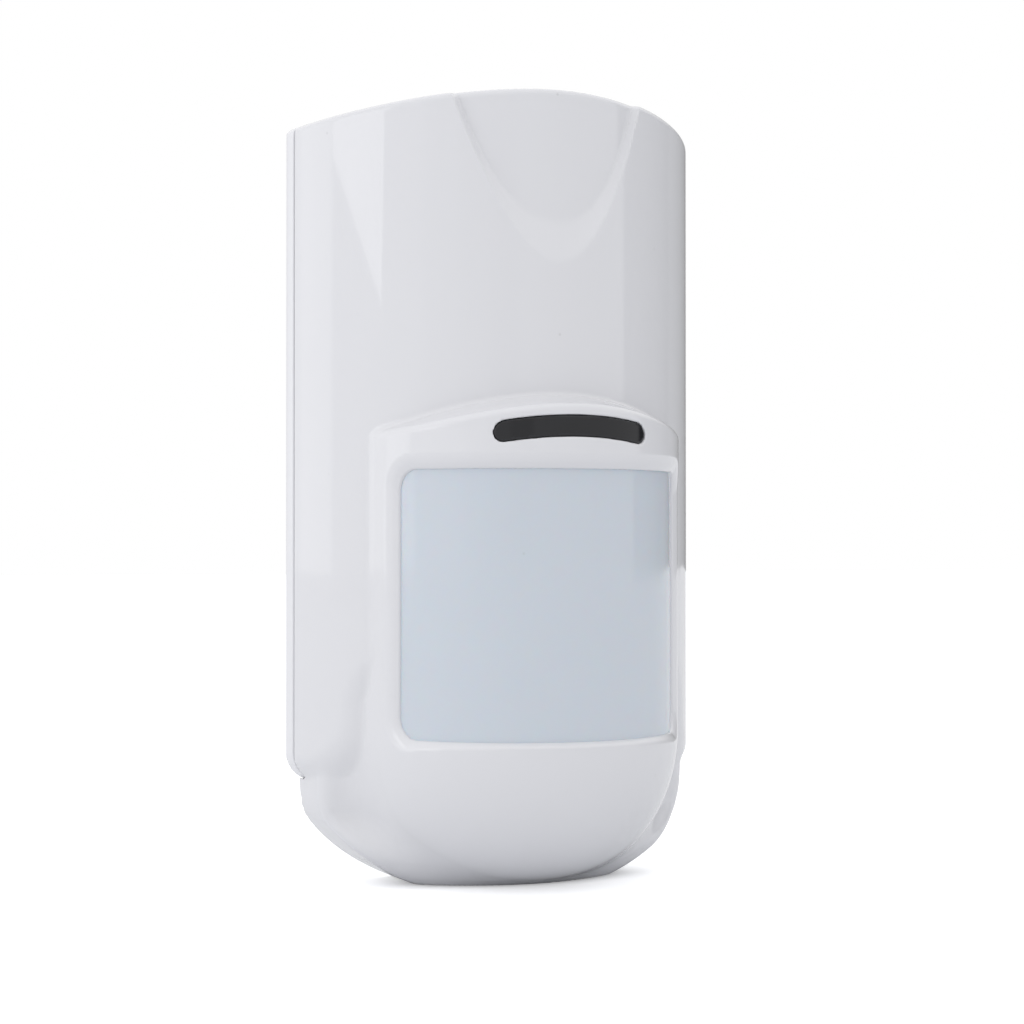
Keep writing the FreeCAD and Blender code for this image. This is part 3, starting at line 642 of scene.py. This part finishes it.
def flange_gap(x, y, z, inset):
    lower = np.clip((-50.0 - z) / 8, 0, 1)
    front = 7.5 - inset + 4.0 * lower * lower * (3 - 2 * lower)
    draft = inset + 1.6 * np.clip(-y / front, 0, 1.3)
    wide, high = 33.3 - draft, 16.6 - inset
    u = np.abs(x) / wide
    drop = np.maximum(-45.0 - z, 0) / high
    steep = np.hypot(2.3 / wide * u ** 1.3, 2 * drop / high)
    outline = (u ** 2.3 + drop ** 2 - 1) / np.maximum(steep, 0.03)
    outline = round_cut(outline, np.abs(x) - 32.1 + draft, 0.8)
    return np.maximum(round_cut(outline, -y - front, 1.2), z + 40.0)


def lens_gap(x, y, z):
    """Distance outside the lens opening, measured round the drum."""
    along = lens_radius * np.arctan2(np.abs(x), np.maximum(hood_axis_y - y, 0.01))
    return panel_gap(along, z, lens_along, lens_bottom, lens_top, lens_corner)


def dish_gap(x, y, z, drum):
    """Sloped frame round the lens, which narrows along the bottom."""
    along = lens_radius * np.arctan2(np.abs(x), np.maximum(hood_axis_y - y, 0.01)) / lens_along
    low = np.clip((-36.0 - z) / 2, 0, 1) * np.maximum(1 - along ** 2, 0)
    dish = (drum + 1.0 - (0.62 + 1.2 * low) * np.maximum(lens_gap(x, y, z), -1)) / 1.2
    return np.where(y < -14, dish, -9)


def roof_gap(x, y, z, inset):
    fall = np.minimum(0.25 * np.maximum(plan_gap(x, y, 0), 0), 1.7)
    return (z - (14.2 - inset - 0.0086 * x * x) + fall) / np.sqrt(1 + (0.0172 * x) ** 2)


def hood_gap(x, y, z, inset):
    drum = drum_gap(x, y, z, inset)
    form = soft_join(drum, flange_gap(x, y, z, inset), 10.0 - 2 * inset)
    form = round_cut(form, roof_gap(x, y, z, inset), 0.8)
    form = np.maximum(form, inset - 61.6 - z)
    if inset == 0:
        form = round_cut(form, dish_gap(x, y, z, drum), 0.5)
    return form


def case_gap(x, y, z, inset):
    return soft_join(body_gap(x, y, z, inset), hood_gap(x, y, z, inset), 0.7 if inset == 0 else 0.3)


print("hood at its front:", round(float(case_gap(0.0, -37.2, 5.0, 0)), 3), "mm outside")

# %% [markdown]
# ## Front cover
#
# The cover is the outer form less a smaller copy of it, which leaves a wall of 2 mm as in any
# moulding. It is open at the back, with a hole for the lens and a slot for the window. Inside are
# the two hooks that hang it on the base, the post that presses the tamper switch and the thick
# floor that the cover screw clamps. The CAD cover has the same form in plainer shape, so this
# piece stands for it.

# %% Cover
def slot_gap(x, z, grow):
    """Arched slot with round ends, seen from the front."""
    level = 9.25 - 0.0075 * x * x
    return np.hypot(np.maximum(np.abs(x) - 10.65, 0), z - level) - 1.65 - grow


def fittings_gap(x, y, z):
    """Hooks, tamper post and lock floor inside the cover."""
    post = np.maximum(np.hypot(x - 19, z - 20) - 2.0, y + 17.6)
    inner = np.maximum(post, body_gap(x, y, z, 1.0))
    for side in (-12, 12):
        tongue = block_gap(x, y, z, side - 3, side + 3, -8.5, -0.35, 54.3, 55.5)
        lip = block_gap(x, y, z, side - 3, side + 3, -1.25, -0.35, 54.3, 56.8)
        root = block_gap(x, y, z, side - 3, side + 3, -8.5, -5.0, 54.3, 60.0)
        inner = np.minimum(inner, np.minimum(tongue, np.minimum(lip, root)))
    boss = np.maximum(block_gap(x, y, z, -7, 7, -11.0, -0.3, -59.8, -57.4), case_gap(x, y, z, 0.5))
    return np.minimum(inner, boss)


def lock_gap(x, y, z):
    """Slot for the cover screw, open to the wall, wider below for its head."""
    away = np.where(y > -6.5, np.abs(x), np.hypot(x, y + 6.5))
    return np.maximum(np.minimum(away - 1.7, np.maximum(away - 3.4, z + 59.4)), z + 56.0)


def cover_gap(x, y, z):
    wall = round_cut(case_gap(x, y, z, 0), -case_gap(x, y, z, 2.0), 0.2)
    below = np.maximum(0.15 - rim_gap(x, y, z, 0), z + 40.0)
    rim = np.minimum(y + 2.5, np.maximum(y + 0.3, below))
    wall = round_cut(wall, rim, 0.2)
    front = np.where(y < -14, -lens_gap(x, y, z), -9)
    wall = round_cut(wall, front, 0.25)
    wall = round_cut(wall, np.where(y < -20, -slot_gap(x, z, 0), -9), 0.2)
    return np.maximum(np.minimum(wall, fittings_gap(x, y, z)), -lock_gap(x, y, z))


mould("cover_shell", cover_gap, (-35, -38, -62.5), (35, 0.5, 62.0), grid_step,
      "cover", "cover_plastic", ["front_cover"])

# %% [markdown]
# ## Lens
#
# The lens is a thin curved sheet of milky polyethylene. Its outside is smooth. Its inside carries
# the fine rings that gather the heat of a warm body on the sensor: each field of the lens has its
# own set of rings, cut as shallow saw teeth about its own centre.

# %% Lens
def lens_sheet():
    inner, outer = 24.3, 24.8
    margin = 0.9
    turn = (lens_along + margin) / lens_radius
    columns, rows = ((220, 170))
    angle = np.linspace(-turn, turn, columns)
    height = np.linspace(lens_bottom - margin, lens_top + margin, rows)
    a, z = np.meshgrid(angle, height)
    along = a * inner
    field_wide, field_high = 9.6, 13.9
    centre_along = np.round(along / field_wide) * field_wide
    centre_z = np.floor((z - lens_bottom) / field_high) * field_high + lens_bottom + field_high / 2
    away = np.hypot(along - centre_along, z - centre_z)
    tooth = (away / 0.9) % 1.0
    groove = np.abs(along - centre_along) > field_wide / 2 - 0.15
    cut = np.where(groove, 0.16, 0.12 * tooth)
    layers = []
    for radius in (outer + 0 * a, inner + cut):
        layers.append(np.stack([radius * np.sin(a), hood_axis_y - radius * np.cos(a), z], -1).reshape(-1, 3))
    points = np.concatenate(layers)
    index = np.arange(columns * rows).reshape(rows, columns)
    front = np.stack([index[:-1, :-1], index[:-1, 1:], index[1:, 1:], index[1:, :-1]], -1).reshape(-1, 4)
    back = front[:, ::-1] + columns * rows
    ring = np.concatenate([index[0, :-1], index[:-1, -1], index[-1, :0:-1], index[:0:-1, 0]])
    following = np.roll(ring, -1)
    edge = np.stack([following, ring, ring + columns * rows, following + columns * rows], -1)
    return points, np.concatenate([front, back, edge])


lens_points, lens_faces = lens_sheet()
add_piece("lens_sheet", make_mesh("lens_sheet", lens_points, lens_faces), "cover", "lens_polyethylene",
          None, ["fresnel_lens"])
print("lens sheet:", len(lens_faces), "faces")

# %% [markdown]
# ## Window and lens frame
#
# The window is a plug of smoked acrylic that fills its slot almost flush, with a flange behind.
# The frame behind the lens is a plain curved band.

# %% Window and frame
def ring_gap(x, y, inner, outer):
    reach = np.hypot(x, y - hood_axis_y)
    return np.abs(reach - (inner + outer) / 2) - (outer - inner) / 2


def window_gap(x, y, z):
    plug = round_cut(ring_gap(x, y, 24.0, 25.97), slot_gap(x, z, -0.07), 0.18)
    flange = np.maximum(ring_gap(x, y, 23.0, 24.05), slot_gap(x, z, 1.0))
    flange = np.maximum(flange, roof_gap(x, y, z, 2.3))
    return np.minimum(plug, flange)


def retainer_gap(x, y, z):
    return round_cut(ring_gap(x, y, 23.05, 24.25), np.abs(lens_gap(x, y, z) - 0.35) - 1.55, 0.3)


mould("window_plug", window_gap, (-14.5, -38, 4), (14.5, -29, 14), 0.3,
      "cover", "smoked_acrylic", ["led_window"])
mould("lens_frame", retainer_gap, (-25.5, -36, -41), (25.5, -11.5, 6), 0.5,
      "cover", "base_plastic", ["lens_retainer"])

# %% [markdown]
# ## Rear base
#
# The base is a shallow tray with the cover's outline. It carries the posts for the board, two
# ribs, the lug for the cover screw and the bars that the cover hangs on. Its back has the screw
# holes for the wall, the cable hole, and a shallow channel and two thin discs that an installer
# can break out.

# %% Base
board_posts = [(-20.5, 31.0), (20.5, 31.0), (0.0, -38.5)]


def foot_gap(x, z):
    wide, high = 28.9, 14.2
    u = np.abs(x) / wide
    drop = np.maximum(-45.0 - z, 0) / high
    steep = np.hypot(2.4 / wide * u ** 1.4, 2 * drop / high)
    return (u ** 2.4 + drop ** 2 - 1) / np.maximum(steep, 0.03)


def base_gap(x, y, z):
    tray = round_cut(rim_gap(x, y, z, 0), np.maximum(-2.4 - y, y), 0.2)
    tray = np.maximum(tray, -np.maximum(rim_gap(x, y, z, 1.8), y + 2.0))
    lobe = round_cut(np.maximum(foot_gap(x, z), z + 44.0), np.maximum(-2.0 - y, y), 0.2)
    lobe = np.maximum(lobe, -block_gap(x, y, z, -7.4, 7.4, -3, 1, -66, -57.2))
    base = np.minimum(tray, lobe)
    for px, pz in board_posts:
        away = np.hypot(x - px, z - pz)
        foot = 3.2 + 1.2 * np.clip((y + 3.4) / 1.4, 0, 1) ** 2
        post = np.maximum(away - foot, np.maximum(-8.0 - y, y + 1.5))
        base = np.maximum(np.minimum(base, post), -np.maximum(away - 1.2, y + 2.0))
    lug = np.maximum(block_gap(x, y, z, -5.5, 5.5, -10, -1.5, -57.2, -53.5), -(np.hypot(x, y + 6.5) - 1.2))
    base = np.minimum(base, lug)
    for side in (-1, 1):
        rib = block_gap(side * x, y, z, 24.9, 26.1, -7.6, -1.5, -30, 26)
        base = np.minimum(base, rib)
        base = np.maximum(base, -block_gap(side * x, y, z, 8.7, 15.3, -2.6, 1, 52.5, 58.6))
        bar = block_gap(side * x, y, z, 7.5, 16.5, -4.5, -2.5, 56.2, 57.2)
        cheeks = block_gap(np.abs(side * x - 12), y, z, 3.3, 4.5, -4.5, -1.0, 54.0, 57.2)
        base = np.minimum(base, np.minimum(bar, cheeks))
    for hz in (51.0, -50.0):
        away = np.hypot(x, z - hz)
        base = np.maximum(base, -(away - 2.1 - 0.5 * np.clip((-1.2 - y) / 0.8, 0, 1)))
    base = np.maximum(base, -(np.hypot(x - 20, z - 47.5) - 4.0))
    channel = np.maximum(np.abs(x - 20) - 3.0, np.maximum(-0.7 - y, np.maximum(z - 45, -38 - z)))
    base = np.maximum(base, -channel)
    for ring_z in (20.0, -20.0):
        ring = np.abs(np.hypot(x + 16, z - ring_z) - 6.0) - 0.6
        base = np.maximum(base, -np.maximum(np.maximum(ring, -1.2 - y), -0.3))
    return base


mould("base_tray", base_gap, (-35, -10.6, -60.5), (35, 0.6, 61.6), grid_step,
      "base", "base_plastic", ["rear_base"])

# %% [markdown]
# ## Parts on the board
#
# The small parts have the right shape in the CAD model already. They stay, and get soft edges and
# a finish of their own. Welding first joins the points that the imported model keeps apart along
# every edge, or the bevel would find no edges to round.

# %% Soft edges and finishes for the CAD parts
def dress(node, width, angle=38.0):
    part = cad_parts[node]
    finish = finishes[node_slot[node]]
    if part.material_slots:
        for place in part.material_slots:
            place.material = finish
    else:
        part.data.materials.append(finish)
    part.data.polygons.foreach_set("use_smooth", np.ones(len(part.data.polygons), bool))
    weld = part.modifiers.new("weld", "WELD")
    weld.merge_threshold = 0.000005
    bevel = part.modifiers.new("soft_edges", "BEVEL")
    bevel.width = width / 1000
    bevel.segments = 2
    bevel.limit_method = "ANGLE"
    bevel.angle_limit = math.radians(angle)
    bevel.harden_normals = True
    return part


node_slot = {
    "circuit_board": "board_green", "board_screws": "screw_steel", "pyro_can": "can_nickel",
    "pyro_filter": "filter_dark", "pyro_leads": "can_nickel", "pyro_guard": "guard_rubber",
    "led_spacers": "black_plastic", "green_led": "led_green", "red_led": "led_red", "amber_led": "led_amber",
    "terminal_block": "terminal_plastic", "terminal_clamps": "brass_clamp", "terminal_screws": "screw_steel",
    "tamper_body": "black_plastic", "tamper_plunger": "plunger_plastic", "tamper_spring": "spring_steel",
    "dip_block": "switch_plastic", "dip_lever_1": "lever_plastic", "dip_lever_2": "lever_plastic",
    "dip_lever_3": "lever_plastic", "trimmer_body": "trimmer_plastic", "trimmer_rotor": "lever_plastic",
    "alarm_relay": "relay_plastic", "microcontroller": "chip_epoxy", "amplifier_chip": "chip_epoxy",
    "filter_capacitors": "capacitor_can", "chip_resistors": "chip_epoxy", "jumper_pins": "black_plastic",
    "jumper_cap": "jumper_plastic", "cover_screw": "screw_steel", "lock_washer": "washer_nylon",
}
soft_width = {"circuit_board": 0.08, "pyro_leads": 0.04, "tamper_spring": 0.02, "pyro_filter": 0.03,
              "alarm_relay": 0.05, "chip_resistors": 0.08, "microcontroller": 0.06, "amplifier_chip": 0.06}
for node in node_slot:
    dress(node, soft_width.get(node, 0.12))
print("CAD parts dressed:", len(node_slot))

# %% [markdown]
# ## Tracks and pads
#
# Copper tracks run under the green resist and show as a slightly lighter, slightly raised line.
# They leave their pads and bend only by 45 degrees. Pads are tinned rings or squares.

# %% Tracks and pads
board_face = -9.6


def bar(points, faces, a, b, width, lift):
    """Adds one straight piece of track, a thin bar with a flat top."""
    a, b = np.array(a, float), np.array(b, float)
    along = (b - a) / max(np.linalg.norm(b - a), 1e-6)
    across = np.array([-along[1], along[0]]) * width / 2
    a, b = a - along * width / 4, b + along * width / 4
    start = len(points)
    for y, share in ((board_face + 0.02, 1.0), (board_face - lift, 0.7)):
        for spot in (a + across * share, a - across * share, b - across * share, b + across * share):
            points.append((spot[0], y, spot[1]))
    for quad in ((4, 5, 6, 7), (0, 1, 5, 4), (1, 2, 6, 5), (2, 3, 7, 6), (3, 0, 4, 7)):
        faces.append([start + n for n in quad])


def disc(points, faces, x, z, radius, lift, sides=14):
    start = len(points)
    rings = ((board_face + 0.02, radius), (board_face - lift, radius * 0.86),
             (board_face - lift * 1.2, radius * 0.3))
    for y, size in rings:
        for n in range(sides):
            angle = 2 * math.pi * n / sides
            points.append((x + size * math.cos(angle), y, z + size * math.sin(angle)))
    for ring in (0, 1):
        for n in range(sides):
            m = (n + 1) % sides
            faces.append([start + ring * sides + n, start + ring * sides + m,
                          start + (ring + 1) * sides + m, start + (ring + 1) * sides + n])
    middle = start + 2 * sides
    for n in range(1, sides - 2, 2):
        faces.append([middle, middle + n, middle + n + 1, middle + n + 2])


tracks = [
    (0.9, [(-13.3, 35.0), (-13.3, 33.5), (-11, 31.2), (-11, 27.8)]),
    (0.9, [(-9.5, 35.0), (-9.5, 30), (-8.6, 29.1), (-8.6, 27.6)]),
    (1.4, [(-5.7, 35.0), (-5.7, 33.8), (-7.0, 32.5), (-7.0, 12)]),
    (1.4, [(13.3, 35.0), (17.0, 31.3), (17.0, 24.5)]),
    (0.6, [(9.5, 35.0), (9.5, 34.2), (16.0, 27.7), (16.0, 4.0), (14.0, 2.0), (14.0, -6.0)]),
    (0.5, [(-13.5, 20.0), (-13.5, 17.5), (-10.5, 14.5), (-10.5, -21.0), (-5.2, -23.5)]),
    (0.5, [(-11.0, 20.0), (-11.0, 18.8), (-9.5, 17.3), (-9.5, -19.8), (-3.9, -23.0)]),
    (0.5, [(-16.0, 20.0), (-16.0, 17.0), (-20.6, 12.4), (-20.6, -20), (-18.5, -22.1)]),
    (0.5, [(-16.5, 7.4), (-16.5, 3.0)]),
    (0.5, [(-13.5, 7.6), (-12.4, 6.5), (-12.4, -7.0), (-13.2, -8.2)]),
    (0.5, [(8, 6.4), (8, 1), (10.2, -1.2), (10.2, -20.5), (5.5, -23.4)]),
    (0.5, [(0, 6.4), (0, 3.0), (9.2, -6.2), (9.2, -19.8), (4.0, -23.4)]),
    (0.5, [(-8, 6.4), (-8, 1.0), (-8.6, 0.4), (-8.6, -18.6), (-2.6, -23.0)]),
    (0.7, [(18.1, -2.0), (18.1, -3.2), (20.8, -5.9), (20.8, -28.5), (18.8, -30.5), (8.0, -30.5)]),
    (0.7, [(19.0, 16.4), (19.0, 4.0), (17.2, 2.2)]),
    (1.2, [(-21.6, 26), (-22.2, 25.4), (-22.2, -30), (-14.2, -38), (-5.0, -38)]),
    (1.2, [(21.6, 26), (22.4, 25.2), (22.4, -30), (14.4, -38), (5.0, -38)]),
    (0.5, [(-10.5, -24), (-8.6, -25.9), (-7.4, -25.9)]),
    (0.5, [(-10.5, -28), (-9.5, -29.0), (-7.4, -29.0)]),
    (0.5, [(10.5, -24), (8.6, -25.9), (7.4, -25.9)]),
    (0.5, [(-16.0, -24), (-16.0, -28)]),
    (0.5, [(13.0, -24), (13.0, -28)]),
]
track_points, track_faces = [], []
for width, route in tracks:
    for a, b in zip(route, route[1:]):
        bar(track_points, track_faces, a, b, width, 0.05)
add_piece("board_tracks", make_mesh("board_tracks", np.array(track_points), np.array(track_faces)),
          "base", "board_green", "trace_green")

pads = [(x, z, 0.7) for _, route in tracks for x, z in (route[0], route[-1])]
pads += [(-4.0 + 3.0 * n, 17.5 - 2.5 * (n % 2), 0.45) for n in range(6)]
pads += [(x, z, 3.4) for x, z in board_posts]
pad_points, pad_faces = [], []
for x, z, radius in pads:
    disc(pad_points, pad_faces, x, z, radius, 0.07)
for column in (-17.5, -14.5, -11.5, 11.5, 14.5, 17.5):
    for row in (-24.0, -28.0):
        for side in (-1, 1):
            bar(pad_points, pad_faces, (column + side * 0.75, row), (column + side * 1.35, row), 1.3, 0.3)
add_piece("board_pads", make_mesh("board_pads", np.array(pad_points), np.array(pad_faces)),
          "base", "can_nickel", "pad_tin")
print("tracks:", len(tracks), "pads:", len(pads))
